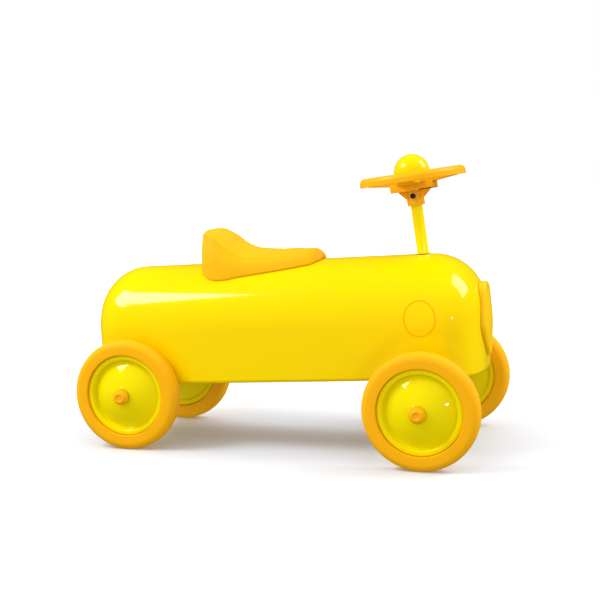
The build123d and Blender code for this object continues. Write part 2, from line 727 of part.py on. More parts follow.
save("rear_axle_carrier", rear_axle_carrier())
save("rear_carrier_rivets", *[rivet(u, v) for u, v in rear_rivets()])
save("rear_axle_bushes", *[rear_bush(side) for side in SIDES.values()])
save("rear_axle", rod_y(axle_diameter / 2, -axle_end(rear_track), axle_end(rear_track), rear_x, axle_z))
save("rear_spacers", *[rear_spacer(side) for side in SIDES.values()])

save("front_subframe", front_subframe())
save("front_subframe_rivets", *[rivet(u, v) for u, v in front_rivets()])
save("kingpins", *[kingpin(side) for side in SIDES.values()])
save("kingpin_nuts", *[kingpin_nut(side) for side in SIDES.values()])
for side_name, side in SIDES.items():
    save(f"knuckle_{side_name}", knuckle(side))
    save(f"tie_rod_pin_{side_name}", tie_pin(side))
save("tie_rod", tie_rod())

save("column_lower_bush", column_lower_bush())
save("column_upper_bush", column_upper_bush(shell))
save("steering_column", steering_column())
save("column_collar", column_collar())
save("steering_wheel", steering_wheel())
save("wheel_screw", wheel_screw())
save("horn_dome", horn_dome())
save("horn_spring", horn_spring())

for side_name in SIDES:
    road_wheel("front", side_name, front_x, front_track)
    road_wheel("rear", side_name, rear_x, rear_track)
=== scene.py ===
# %% [markdown]
# A toddler's foot-to-floor ride-on car: a glossy yellow pressed-steel body on four disc
# wheels with orange rubber tyres, a padded saddle seat and a steered front axle.
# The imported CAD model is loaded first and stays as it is: it fixes every size and place.
# The visible skins (body, seat, tyres, discs, steering wheel) are then modelled as finer
# meshes in the same places, because curved gloss shows every facet.

# %% Load the frame and keep its box
from math import acos, cos, hypot, pi, radians, sin, sqrt, tan

import bmesh
import bpy
import numpy as np
from mathutils import Matrix, Vector


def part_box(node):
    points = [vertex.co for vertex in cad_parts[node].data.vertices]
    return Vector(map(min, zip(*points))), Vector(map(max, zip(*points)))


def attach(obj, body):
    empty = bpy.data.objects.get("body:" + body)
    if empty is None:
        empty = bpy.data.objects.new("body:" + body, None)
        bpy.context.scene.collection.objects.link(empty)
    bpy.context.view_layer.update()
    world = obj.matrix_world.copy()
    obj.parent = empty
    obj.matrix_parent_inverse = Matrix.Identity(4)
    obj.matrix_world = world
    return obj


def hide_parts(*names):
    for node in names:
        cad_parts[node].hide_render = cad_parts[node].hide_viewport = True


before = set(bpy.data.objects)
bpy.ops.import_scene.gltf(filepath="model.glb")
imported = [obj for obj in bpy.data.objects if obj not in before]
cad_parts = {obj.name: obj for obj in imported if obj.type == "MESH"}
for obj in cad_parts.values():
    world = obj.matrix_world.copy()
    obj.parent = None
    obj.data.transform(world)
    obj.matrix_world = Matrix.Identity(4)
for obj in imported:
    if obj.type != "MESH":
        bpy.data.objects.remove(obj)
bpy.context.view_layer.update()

MM = 0.001

# %% [markdown]
# Colours are written as sRGB hex, the way a paint chart gives them. Shaders work in linear
# light, so one function converts every colour once.

# %% Colours
def linear(code):
    """Linear RGBA from an sRGB hex code such as "ffd500"."""
    channels = [int(code[i:i + 2], 16) / 255 for i in (0, 2, 4)]
    return tuple(c / 12.92 if c <= 0.04045 else ((c + 0.055) / 1.055) ** 2.4 for c in channels) + (1.0,)


# %% [markdown]
# One small function adds a node, fills in its sockets and links it. A value that is a
# node's output socket becomes a link, anything else is set as a plain number or colour.

# %% The node helper
def add(tree, kind, settings=None, **sockets):
    """Adds a node; settings are its properties, sockets its inputs by name (spaces as underscores)."""
    node = tree.nodes.new(kind)
    for key, value in (settings or {}).items():
        setattr(node, key, value)
    for key, value in sockets.items():
        names = key.replace("_", " ")
        socket = next(s for s in node.inputs if s.name.lower() == names.lower() and s.enabled)
        if isinstance(value, bpy.types.NodeSocket):
            tree.links.new(value, socket)
        else:
            socket.default_value = value
    return node


def new_material(name):
    """An empty node material and its tree; finish_material adds the output node."""
    material = bpy.data.materials.new(name)
    material.use_nodes = True
    material.node_tree.nodes.clear()
    return material, material.node_tree


def finish_material(material, tree, shader):
    add(tree, "ShaderNodeOutputMaterial", Surface=shader.outputs[0])
    return material


# %% [markdown]
# Gloss enamel is a baked paint on pressed steel. It is smooth, with the faint wide ripple
# that painters call orange peel, about 4 mm from crest to crest, and tiny differences in
# roughness. The clear top of the paint is the shader's coat. The colour drifts a very
# little over 90 mm, as sprayed paint does.

# %% Enamel
paint_drift_mm = 90


def enamel(name, colour, shade, ripple_mm=4.0, roughness=0.11):
    """Baked gloss paint; colour and shade are the two ends of its slow drift."""
    material, tree = new_material(name)
    place = add(tree, "ShaderNodeTexCoord")
    ripple = add(tree, "ShaderNodeTexNoise", Vector=place.outputs["Object"], Scale=1 / (ripple_mm * MM),
                 Detail=1.0, Roughness=0.4)
    cloud = add(tree, "ShaderNodeTexNoise", Vector=place.outputs["Object"], Scale=1 / (paint_drift_mm * MM),
                Detail=2.0)
    tint = add(tree, "ShaderNodeMix", {"data_type": "RGBA"}, Factor=cloud.outputs["Fac"])
    tint.inputs[6].default_value = linear(colour)
    tint.inputs[7].default_value = linear(shade)
    bump = add(tree, "ShaderNodeBump", Height=ripple.outputs["Fac"], Strength=0.05, Distance=0.02 * MM)
    shader = add(tree, "ShaderNodeBsdfPrincipled", Base_Color=tint.outputs[2], Roughness=roughness,
                 Coat_Weight=0.4, Coat_Roughness=0.03, IOR=1.35, Normal=bump.outputs["Normal"])
    return finish_material(material, tree, shader)


body_enamel = enamel("yellow_gloss_enamel", "fcd900", "fbd700")
disc_enamel = enamel("yellow_enamel_on_pressed_discs", "f8e400", "f4df00")
tube_enamel = enamel("yellow_enamel_on_tube", "ffea00", "ffe800")
chassis_enamel = enamel("yellow_enamel_on_chassis", "f0cc00", "e6c200", roughness=0.3)
print("enamels", [m.name for m in (body_enamel, disc_enamel, tube_enamel, chassis_enamel)])

# %% [markdown]
# Rubber, ABS, nylon and vinyl are dyed right through, and a mould or a roller gives them
# their skin. The colour is even, the shine is broad and soft, and there is a fine even
# grain. A real moulded grain is about 0.1 mm, too fine to show, so it is drawn at 0.5 to
# 1.1 mm. One function makes them all from that grain and a roughness.

# %% Moulded materials
def moulded(name, colour, shade, grain_mm, grain_depth_mm, roughness, coat=0.0, ior=1.5):
    """A dyed moulding: rubber, ABS, nylon or vinyl, by its grain and roughness."""
    material, tree = new_material(name)
    place = add(tree, "ShaderNodeTexCoord")
    grain = add(tree, "ShaderNodeTexNoise", Vector=place.outputs["Object"], Scale=1 / (grain_mm * MM),
                Detail=3.0, Roughness=0.6)
    cloud = add(tree, "ShaderNodeTexNoise", Vector=place.outputs["Object"], Scale=1 / (35 * MM), Detail=3.0)
    tint = add(tree, "ShaderNodeMix", {"data_type": "RGBA"}, Factor=cloud.outputs["Fac"])
    tint.inputs[6].default_value = linear(colour)
    tint.inputs[7].default_value = linear(shade)
    dull = add(tree, "ShaderNodeMapRange", Value=grain.outputs["Fac"], To_Min=roughness - 0.05,
               To_Max=roughness + 0.05)
    bump = add(tree, "ShaderNodeBump", Height=grain.outputs["Fac"], Strength=0.3,
               Distance=grain_depth_mm * MM)
    shader = add(tree, "ShaderNodeBsdfPrincipled", Base_Color=tint.outputs[2],
                 Roughness=dull.outputs["Result"], Coat_Weight=coat, Coat_Roughness=0.08, IOR=ior,
                 Specular_IOR_Level=0.2, Normal=bump.outputs["Normal"])
    return finish_material(material, tree, shader)


# %% [markdown]
# The tyres are solid moulded rubber. Rubber is a little rough, so its shine is wide and dull.

# %% Rubber
tyre_rubber = moulded("orange_moulded_rubber", "ffb800", "fcb300", 0.8, 0.05, 0.55, ior=1.4)
print("rubber", tyre_rubber.name)

# %% [markdown]
# ABS is the hard glossy plastic of toys. Straight from the mould it has a soft shine. The
# horn button's mould is polished, so it has a sharp one, and that is the shader's coat.

# %% ABS
wheel_abs = moulded("orange_moulded_abs", "ffb700", "fdb200", 0.6, 0.02, 0.3, coat=0.15)
grille_abs = moulded("amber_moulded_abs", "ffcd00", "ffc900", 0.6, 0.02, 0.26, coat=0.2)
horn_abs = moulded("yellow_polished_abs", "fadb00", "f8d800", 0.8, 0.01, 0.14, coat=0.5)
cap_abs = moulded("orange_cap_plastic", "ffb400", "fbae00", 0.6, 0.02, 0.32)
print("ABS", [m.name for m in (wheel_abs, grille_abs, horn_abs, cap_abs)])

# %% [markdown]
# The bushes are nylon, which is waxy and duller than ABS. The clamp screw is steel with a
# black oxide skin, which hides the metal and looks like a dull dark paint.

# %% Nylon and blackened steel
nylon = moulded("natural_nylon", "e9e6da", "e2ded0", 0.6, 0.02, 0.4)
# The black of this nylon is painted shade: on the hood sleeve's lip it stands in for the dark gap round the
# foot of the column.
shade_black_nylon = moulded("shade_black_nylon", "24201a", "1c1914", 0.6, 0.02, 0.45)
black_steel = moulded("blackened_screw_steel", "2a2520", "221d18", 0.5, 0.02, 0.4)
print("small parts", [m.name for m in (nylon, shade_black_nylon, black_steel)])

# %% [markdown]
# The seat's cover is leatherette: vinyl on cloth, rolled with a fine pebble. It is the
# dullest of the yellow parts.

# %% Leatherette
leatherette = moulded("amber_leatherette", "f6b700", "f2b300", 1.1, 0.08, 0.5, ior=1.4)
print("cover", leatherette.name)

# %% [markdown]
# Axles, pins, rivets and the track rod are zinc-plated steel: a metal with a dull grey shine
# and a soft mottle where the plating crystals differ, about 3 mm across.

# %% Zinc plate
zinc_mottle_mm = 3


def zinc_plate(name):
    material, tree = new_material(name)
    place = add(tree, "ShaderNodeTexCoord")
    mottle = add(tree, "ShaderNodeTexNoise", Vector=place.outputs["Object"], Scale=1 / (zinc_mottle_mm * MM),
                 Detail=4.0)
    tint = add(tree, "ShaderNodeMix", {"data_type": "RGBA"}, Factor=mottle.outputs["Fac"])
    tint.inputs[6].default_value = linear("c9cbcc")
    tint.inputs[7].default_value = linear("b3b6b8")
    dull = add(tree, "ShaderNodeMapRange", Value=mottle.outputs["Fac"], To_Min=0.28, To_Max=0.42)
    shader = add(tree, "ShaderNodeBsdfPrincipled", Base_Color=tint.outputs[2], Metallic=1.0,
                 Roughness=dull.outputs["Result"])
    return finish_material(material, tree, shader)


zinc = zinc_plate("zinc_plated_steel")
print("metal", zinc.name)

# %% [markdown]
# The CAD pieces that keep their own mesh get their material by name. Whatever is modelled
# again below is hidden by its new piece, so it needs no finish here.

# %% Finishes for the CAD nodes
finish_by_node = {
    "steering_column": tube_enamel, "front_subframe": chassis_enamel, "rear_axle_carrier": chassis_enamel,
    "seat_base": nylon, "rear_axle_bushes": nylon, "column_lower_bush": nylon,
    "column_upper_bush": shade_black_nylon, "wheel_screw": black_steel,
}
for name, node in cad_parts.items():
    material = finish_by_node.get(name, nylon if name.startswith("hub_bush") else zinc)
    node.data.materials.clear()
    node.data.materials.append(material)
    node.data.shade_smooth()
    node.data.set_sharp_from_angle(angle=radians(35))
print("finishes given to", len(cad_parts), "nodes")

# %% [markdown]
# Every modelled piece is made from a few points that mesh code turns into quads. A grid
# joins rows of points into a sheet, and a lathe turns an outline about an axis, as the
# real discs, tyres and nuts are turned or pressed.

# %% Meshes from points
def mesh_object(name, points, faces, material, body, smooth_angle=40):
    """A smooth mesh that rides on a body; points are in metres."""
    mesh = bpy.data.meshes.new(name)
    mesh.from_pydata([tuple(p) for p in points], [], faces)
    mesh.update()
    obj = bpy.data.objects.new(name, mesh)
    bpy.context.scene.collection.objects.link(obj)
    work = bmesh.new()
    work.from_mesh(mesh)
    bmesh.ops.remove_doubles(work, verts=work.verts, dist=1e-6)
    bmesh.ops.recalc_face_normals(work, faces=work.faces)
    work.to_mesh(mesh)
    work.free()
    mesh.materials.append(material)
    mesh.shade_smooth()
    mesh.set_sharp_from_angle(angle=radians(smooth_angle))
    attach(obj, body)
    return obj


def grid_faces(rows, columns, close_rows=False, close_columns=False):
    """Quads between rows of points, which may join up with the first row or column again."""
    faces = []
    for i in range(rows - (0 if close_rows else 1)):
        for j in range(columns - (0 if close_columns else 1)):
            a, b = i * columns + j, i * columns + (j + 1) % columns
            k = (i + 1) % rows
            faces.append((a, b, k * columns + (j + 1) % columns, k * columns + j))
    return faces


# %% Rounded corners
def soften(corners, radius, steps=5, closed=False):
    """Rounds a polyline's corners: radius is one number or one for each corner."""
    count = len(corners)
    radii = [radius] * count if isinstance(radius, (int, float)) else radius
    out = []
    for i, corner in enumerate(corners):
        here = Vector(corner)
        if radii[i] <= 0 or (not closed and i in (0, count - 1)):
            out.append(here)
            continue
        before, after = Vector(corners[i - 1]), Vector(corners[(i + 1) % count])
        u, v = (before - here).normalized(), (after - here).normalized()
        turn = acos(max(-1.0, min(1.0, u.dot(v))))
        if pi - turn < 0.02:
            out.append(here)
            continue
        reach = min(radii[i] / tan(turn / 2), 0.48 * (before - here).length, 0.48 * (after - here).length)
        size = reach * tan(turn / 2)
        centre = here + (u + v).normalized() * (size / sin(turn / 2))
        start, end = here + u * reach - centre, here + v * reach - centre
        for s in range(steps + 1):
            t = s / steps
            swing = start * (1 - t) + end * t
            out.append(centre + swing.normalized() * size)
    return out


# %% Turned shapes
def lathe(name, outline, place, material, body, turns=128, closed=True, smooth_angle=40):
    """Turns a (radius, height) outline in mm about the place's Z axis."""
    points = []
    for i in range(turns):
        a = 2 * pi * i / turns
        for radius, height in outline:
            points.append(place @ Vector((radius * cos(a) * MM, radius * sin(a) * MM, height * MM)))
    faces = grid_faces(turns, len(outline), close_rows=True, close_columns=closed)
    return mesh_object(name, points, faces, material, body, smooth_angle)


# %% [markdown]
# The driving sizes are the real car's, in millimetres. The wheelbase, the axles' height and
# the tracks come from the frame's own nodes, so the new skins sit on the CAD pieces.

# %% Sizes from the frame
def middle(node):
    """Centre of a node's box, in metres."""
    low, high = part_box(node)
    return (low + high) / 2


front_x = middle("tyre_front_left").x / MM
rear_x = middle("tyre_rear_left").x / MM
axle_z = middle("tyre_front_left").z / MM
tyre_radius = (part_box("tyre_front_left")[1].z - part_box("tyre_front_left")[0].z) / 2 / MM
wheelbase = front_x - rear_x
print("wheelbase", round(wheelbase, 2), "tyre radius", round(tyre_radius, 2))

# %% [markdown]
# The body is one deep pressing, like an upturned loaf tin: straight sides, an arched roof
# and a rounded nose and tail. It is pitched nose up, so it is drawn level in its own frame
# (u forward from the rear axle, v left, w up) and then turned. Each cross-section is two
# straight sides and a half ellipse, and the sections close up towards the ends.

# %% Body sizes
body_half, body_front, body_rear = 83.5, 482.0, -60.0
# spring is the height where the straight side ends and the arch of the roof begins
body_bottom, body_top, spring = 85.5, 240.5, 157.0
nose_radius, tail_radius = 67.0, 62.0
corner_depth, corner_width = 48.0, 68.0
pitch = radians(2.75)
sheet = 1.2


def from_body(u, v, w):
    """Place in the scene, in metres, of a point given in mm in the body's own frame."""
    return Vector((rear_x + u * cos(pitch) - w * sin(pitch), v, u * sin(pitch) + w * cos(pitch))) * MM


def quarter(distance, reach):
    """Height of a quarter circle of radius 1 at a share of the way along its reach."""
    share = min(max(distance / reach, 0.0), 1.0)
    return sqrt(1 - share * share)


def section_size(u):
    """Half width of the straight side, and height of the crown, of the cross-section at u."""
    past_corner = max(u - (body_front - corner_depth), (body_rear + corner_depth) - u)
    half = body_half - corner_width + corner_width * quarter(past_corner, corner_depth)
    if u > wheelbase / 2:
        radius, past = nose_radius, u - (body_front - nose_radius)
    else:
        radius, past = tail_radius, (body_rear + tail_radius) - u
    return half, body_top - radius + radius * quarter(past, radius)


print("body", body_front - body_rear, "mm long,", 2 * body_half, "mm wide")

# %% [markdown]
# Beside each wheel the side is pressed in a little, so that the wheel has room and the flat
# sheet is stiffer. The press leaves a soft step, which is the only line that shows.

# %% Pressings beside the wheels
pressing_depth, pressing_step = 1.3, 15.0
front_pressing, rear_pressing = 100.0, 92.0


def recess(u, w):
    """How far the side is pressed in beside a wheel, in mm: a shallow dish with a soft step."""
    depth = 0.0
    place = from_body(u, 0, w) / MM
    for x, radius in ((front_x, front_pressing), (rear_x, rear_pressing)):
        away = hypot(place.x - x, place.z - axle_z)
        t = min(max((radius - away) / pressing_step, 0.0), 1.0)
        depth = max(depth, pressing_depth * t * t * (3 - 2 * t))
    return depth


print("pressings", pressing_depth, "mm deep")

# %% Body cross-sections
hem_to_spring_points, arch_points = 16, 25
pressing_band = 12  # only where the side is this close to the full width, in mm, is it pressed in


def body_ring(u):
    """Half section from the hem to the crown, then mirrored: (v, w) points of the outer face."""
    half, crown = section_size(u)
    steps = hem_to_spring_points
    side = [body_bottom + (spring - body_bottom) * i / steps for i in range(steps)]
    ring = [(half, w) for w in side]
    arch = np.linspace(0, pi / 2, arch_points)
    ring += [(half * cos(a), spring + (crown - spring) * sin(a)) for a in arch]
    ring = [(max(v - recess(u, w), 0) if v > body_half - pressing_band else v, w) for v, w in ring]
    return ring + [(-v, w) for v, w in reversed(ring[:-1])]


def body_stations():
    """Places along the body, in mm, closer together where the nose and tail curve."""
    ends = [sin(radians(a)) for a in (8, 16, 24, 32, 40, 48, 55, 62, 68, 74, 79, 83, 86, 88.5, 90)]
    tail = [body_rear + tail_radius - tail_radius * t for t in reversed(ends)]
    middle_part = list(np.linspace(body_rear + tail_radius, body_front - nose_radius, 76))
    return tail + middle_part + [body_front - nose_radius + nose_radius * t for t in ends]


print("cross-sections", len(body_stations()))


# %% Body panel
def make_body():
    """The whole pressing: a skin over the sections, closed flat at both ends, then thickened."""
    stations = body_stations()
    rings = [body_ring(u) for u in stations]
    columns = len(rings[0])
    points = [from_body(u, v, w) for u, ring in zip(stations, rings) for v, w in ring]
    faces = grid_faces(len(rings), columns)
    for row in (0, len(rings) - 1):
        start = row * columns
        for i in range(columns // 2):
            quad = [start + i, start + i + 1, start + columns - 2 - i, start + columns - 1 - i]
            faces.append(tuple(dict.fromkeys(quad)))
    body = mesh_object("body_panel", points, faces, body_enamel, "chassis")
    thick = body.modifiers.new("sheet", "SOLIDIFY")
    thick.thickness = sheet * MM
    thick.offset = -1
    thick.use_even_offset = True
    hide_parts("body_shell")
    return body


body_panel = make_body()
print("body panel", len(body_panel.data.vertices), "points")

# %% [markdown]
# The hem is turned inwards so that no child meets a cut edge. It is a narrow shelf all round
# the bottom, following the same plan outline as the panel.

# %% Hem
hem_width = 8.0


def make_hem():
    """A flat band from the panel's bottom edge inwards, one sheet thick, with a small roll."""
    outline = []
    for u in body_stations():
        half, _ = section_size(u)
        outline.append((u, max(half - recess(u, body_bottom), 1.0)))
    loop = outline + [(u, -v) for u, v in reversed(outline)]
    middle_u = (body_front + body_rear) / 2
    across = [(0.0, 1.4), (0.25, 0.5), (0.9, 0.0), (hem_width, 0.0), (hem_width, sheet),
              (1.4, sheet), (sheet, 2.4)]
    points = []
    count = len(loop)
    for i, (u, v) in enumerate(loop):
        before, after = Vector(loop[i - 1]), Vector(loop[(i + 1) % count])
        along = (after - before).normalized()
        inward = Vector((along.y, -along.x))
        if inward.dot(Vector((middle_u - u, -v))) < 0:
            inward = -inward
        for step, rise in across:
            place = Vector((u, v)) + inward * step
            points.append(from_body(place.x, place.y, body_bottom + rise))
    faces = grid_faces(count, len(across), close_rows=True, close_columns=True)
    hem = mesh_object("body_hem", points, faces, body_enamel, "chassis")
    return hem


body_hem = make_hem()
print("hem", len(body_hem.data.vertices), "points")

# %% [markdown]
# A thin ring is printed on each side behind the front wheels, in the place of a badge. It
# is left plain. It lies a fifth of a millimetre proud, like a screen print, and it is an
# oval, a little taller than it is long.

# %% Printed rings
ring_u, ring_w, ring_line = 410.6, 164.3, 2.0
ring_half_length, ring_half_height = 20.3, 22.8
ring_proud, ring_points = 0.18, 160
print_ink = moulded("orange_screen_print", "ffb600", "ffb300", 0.6, 0.01, 0.2, coat=0.5)


def skin_v(u, w):
    """The body's half width, in mm, at a place on its side."""
    half, crown = section_size(u)
    if w <= spring:
        return half - recess(u, w)
    return half * sqrt(max(1 - ((w - spring) / (crown - spring)) ** 2, 0))


def make_ring(side_name, side):
    """A flat oval band that follows the side of the body; side is 1 for left, -1 for right."""
    points = []
    for i in range(ring_points):
        a = 2 * pi * i / ring_points
        for out, proud in ((-1, 0.0), (-1, ring_proud), (1, ring_proud), (1, 0.0)):
            u = ring_u + (ring_half_length + out * ring_line / 2) * cos(a)
            w = ring_w + (ring_half_height + out * ring_line / 2) * sin(a)
            points.append(from_body(u, side * (skin_v(u, w) + proud), w))
    faces = grid_faces(ring_points, 4, close_rows=True, close_columns=True)
    ring = mesh_object("printed_ring_" + side_name, points, faces, print_ink, "chassis")
    return ring


for side_name, side in (("left", 1), ("right", -1)):
    make_ring(side_name, side)
print("rings", 2 * ring_half_length, "by", 2 * ring_half_height, "mm")

# %% [markdown]
# A road wheel is two pressed steel discs back to back, gripping a solid rubber tyre. The
# outer disc has a domed face, a deep groove where the press turns it up, and a rolled
# edge that shows as a bright bead against the tyre. The inner disc is flatter. All of these
# are turned shapes, so each is one outline spun about the axle. Outlines are in mm: the
# radius, and the distance outwards from the wheel's middle plane.

# %% Tyre outline
tyre_outline = [(55.2, -12.4), (75.0, -12.5), (75.0, 12.5), (55.2, 12.4), (55.2, 5.2), (51.9, 3.6),
                (51.9, -3.6), (55.2, -5.2)]
tyre_rounding = [1.3, 9.5, 9.5, 1.3, 0.5, 0.5, 0.5, 0.5]
print("points in the tyre's outline", len(soften(tyre_outline, tyre_rounding, closed=True)))

# %% Disc outlines
hub_face = 18.0
dome_sphere, dome_reach = 70.6, 44.5


def dome_height(radius, inset=0.0):
    """Height of the outer disc's domed face at a radius: part of a sphere."""
    return hub_face - dome_sphere + sqrt((dome_sphere - inset) ** 2 - radius ** 2)


rim_bead = [(46.6, 2.6), (48.0, 7.4), (49.4, 9.0), (53.0, 9.0), (54.9, 7.8), (54.9, 5.6)]
rim_flange = [(51.5, 4.0), (51.5, 0.1), (50.3, 0.1), (50.3, 4.6)]
rim_bead_back = [(53.6, 6.2), (53.4, 7.2), (52.6, 7.8), (49.9, 7.8), (49.1, 7.0), (47.7, 2.2)]
dome_front = (13.8, 17, 20, 23, 26, 29, 32, 35, 38, 40.5, 42.5, dome_reach)
dome_back = (43.9, 40, 36, 32, 28, 23, 18, 13.2)
outer_disc = [(8.2, 17.3), (12.0, 17.3), (12.9, 16.6)]
outer_disc += [(r, dome_height(r)) for r in dome_front]
outer_disc += [(45.6, 1.9), *rim_bead, *rim_flange, *rim_bead_back, (46.4, 0.9), (45.0, 0.7)]
outer_disc += [(r, dome_height(r, sheet)) for r in dome_back]
outer_disc += [(12, 16.1), (8.2, 16.1)]
inner_disc = [(8.2, 10.3), (12.3, 10.3), (13.6, 9.35), (25, 8.7), (36, 7.4), (43.6, 6.2), (45.4, 4.6),
              (46.7, 5.1), (47.5, 7.9), (49.0, 9.0), (53.0, 9.0), (54.9, 7.7), (54.9, 5.7),
              *rim_flange, (53.6, 6.2), (53.4, 7.2), (52.4, 7.8), (49.6, 7.8), (48.6, 7.2),
              (47.7, 4.2), (46.5, 3.5), (44.9, 3.8), (36, 6.2), (25, 7.5), (13.2, 8.15),
              (12, 9.1), (8.2, 9.1)]
print("disc outlines", len(outer_disc), "and", len(inner_disc), "points")

# %% Cap nut outline
washer_stack = 1.55  # the washer and its play, between the hub and the nut
cap_steps = [(0, 0), (10.3, 0), (10.8, 2.2), (10.3, 4.4), (9.2, 6.6), (7.8, 8.6), (6.3, 9.95),
             (4.6, 9.95), (3.6, 9.0), (0, 8.8)]
cap_outline = [(r, hub_face + washer_stack + h) for r, h in cap_steps]
cap_rounding = [0, 0.5, 2, 3, 3, 2, 1.3, 0.8, 0.8, 0]
print("cap nut", max(r for r, _ in cap_steps) * 2, "mm across")

# %% Wheel pieces
def turned_place(node, side):
    """Matrix whose origin is a wheel's middle and whose Z points out of the car, in metres."""
    centre = middle(node)
    along = Vector((0, side, 0))
    first = Vector((1, 0, 0))
    turn = Matrix((first, along.cross(first), along)).transposed()
    return Matrix.Translation(centre) @ turn.to_4x4()


def make_disc(name, outline, place, body):
    """A pressed disc: every bend of its outline is rounded a little, as sheet is."""
    bent = soften(outline, 0.9, steps=3, closed=True)
    disc = lathe(name, bent, place, disc_enamel, body, turns=160)
    return disc


def make_wheel(end, side_name, side):
    """One road wheel: two discs, a tyre and a cap nut, all turned about the same axle."""
    label = end + "_" + side_name
    body = "wheel_" + label
    outwards = turned_place("tyre_" + label, side)
    inwards = turned_place("tyre_" + label, -side)
    outer = make_disc("wheel_face_" + label, outer_disc, outwards, body)
    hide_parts("outer_disc_" + label)
    inner = make_disc("wheel_back_" + label, inner_disc, inwards, body)
    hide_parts("inner_disc_" + label)
    rubber = soften(tyre_outline, tyre_rounding, steps=7, closed=True)
    tyre = lathe("rubber_tyre_" + label, rubber, outwards, tyre_rubber, body, turns=192)
    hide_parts("tyre_" + label)
    crown = soften(cap_outline, cap_rounding, steps=4)
    cap = lathe("hub_cap_nut_" + label, crown, outwards, cap_abs, body, turns=72, closed=False)
    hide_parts("cap_nut_" + label)


for end in ("front", "rear"):
    for side_name, side in (("left", 1), ("right", -1)):
        make_wheel(end, side_name, side)
print("four wheels made")

# %% [markdown]
# The seat is foam under a glued and sewn vinyl cover: two smooth side panels that bulge a
# little and a top panel with rolls, puffed between sewn channels. A seam runs round the
# edge of the top panel. It is modelled straight from cross-sections, because the cover is
# tight on moulded foam and has no loose folds for a cloth simulation to find.

# %% Seat sizes
# u along the body, half width at the roof, height of the crown, height of the edge seam,
# half width at the seam
seat_stations = [
    (99.6, 26.0, 279.0, 271.0, 16.0),
    (101.5, 36.0, 284.5, 279.5, 24.0),
    (107.6, 45.5, 287.3, 284.0, 32.0),
    (119.0, 53.0, 288.0, 281.0, 38.0),
    (136.5, 54.5, 279.5, 267.0, 40.0),
    (157.0, 51.0, 264.0, 253.0, 40.0),
    (186.0, 46.5, 256.5, 249.0, 36.5),
    (215.5, 41.0, 255.0, 249.0, 31.0),
    (243.0, 34.0, 254.5, 250.5, 24.0),
    (258.5, 26.5, 253.0, 249.5, 17.0),
    (265.3, 15.0, 249.0, 246.5, 9.0),
]
seat_channels = [127.0, 147.0, 175.0, 209.0, 238.0]
channel_depth, channel_width = 0.9, 1.8
seam_depth, seam_width = 0.7, 1.6
roll_height = 0.5
side_bulge = 3.0
seat_to_roof = 0.6  # the cushion stands this far off the painted roof
print("seat", seat_stations[-1][0] - seat_stations[0][0], "mm long")


# %% Seat curves
def along_seat(u, column):
    """Smooth value of one column of the stations at u, by cubic steps between stations."""
    us = [s[0] for s in seat_stations]
    values = [s[column] for s in seat_stations]
    i = min(max(int(np.searchsorted(us, u)) - 1, 0), len(us) - 2)
    slopes = np.gradient(values, us)
    gap = us[i + 1] - us[i]
    t = min(max((u - us[i]) / gap, 0.0), 1.0)
    a, b = 2 * t ** 3 - 3 * t ** 2 + 1, t ** 3 - 2 * t ** 2 + t
    return (a * values[i] + b * gap * slopes[i] + (1 - a) * values[i + 1]
            + (t ** 3 - t ** 2) * gap * slopes[i + 1])


def roof(v):
    """w of the body's roof at v, on the straight part of the body."""
    return spring + (body_top - spring) * sqrt(max(1 - (v / body_half) ** 2, 0))


def roll(u):
    """Rise and fall of the top panel: puffed rolls between channels, in mm."""
    away = min(abs(u - c) for c in seat_channels)
    valley = channel_depth / (1 + (away / (channel_width / 2)) ** 2)
    if u < seat_channels[0] or u > seat_channels[-1]:
        return -valley
    share = [(u - a) / (b - a) for a, b in zip(seat_channels, seat_channels[1:]) if a <= u <= b][0]
    return roll_height * sin(pi * share) - valley


# %% Seat cross-section
def seat_section(u, shrink=1.0):
    """One closed cross-section, (v, w) in mm, from the middle of the underside round."""
    half, crown, seam, seam_half = (float(along_seat(u, c)) for c in (1, 2, 3, 4))
    base = roof(half) + seat_to_roof
    under = [(half * t, roof(half * t) + seat_to_roof) for t in np.linspace(0, 1, 9)[:-1]]
    corner = [(half + side_bulge * 0.35 * t, base + 1.5 * t * t) for t in (0, 0.5, 1)]
    low, high = Vector(corner[-1]), Vector((seam_half, seam))
    lean = (high - low).normalized()
    outward = Vector((lean.y, -lean.x))
    bulge = side_bulge * min(1.0, (high - low).length / 30)
    side = [low.lerp(high, t) + outward * bulge * sin(pi * t) for t in np.linspace(0, 1, 15)[1:-1]]
    lip = high + outward * 1.0
    ridge = [lip - lean * 1.2, high - outward * seam_depth, Vector((seam_half - seam_width, seam + 0.6))]
    top = []
    for t in np.linspace(1, 0, 16):
        v = (seam_half - seam_width - 1.0) * t
        fade = min(1.0, (1 - t) * 6 + 0.25)
        top.append((v, seam + 1.2 * fade + (crown - seam) * (1 - t ** 2.4) + roll(u) * fade))
    right = [tuple(p) for p in [*under, *corner, *side, *ridge, *top]]
    ring = right + [(-v, w) for v, w in reversed(right[1:-1])]
    middle_w = (roof(0) + crown) / 2
    return [(v * shrink, middle_w + (w - middle_w) * shrink) for v, w in ring]


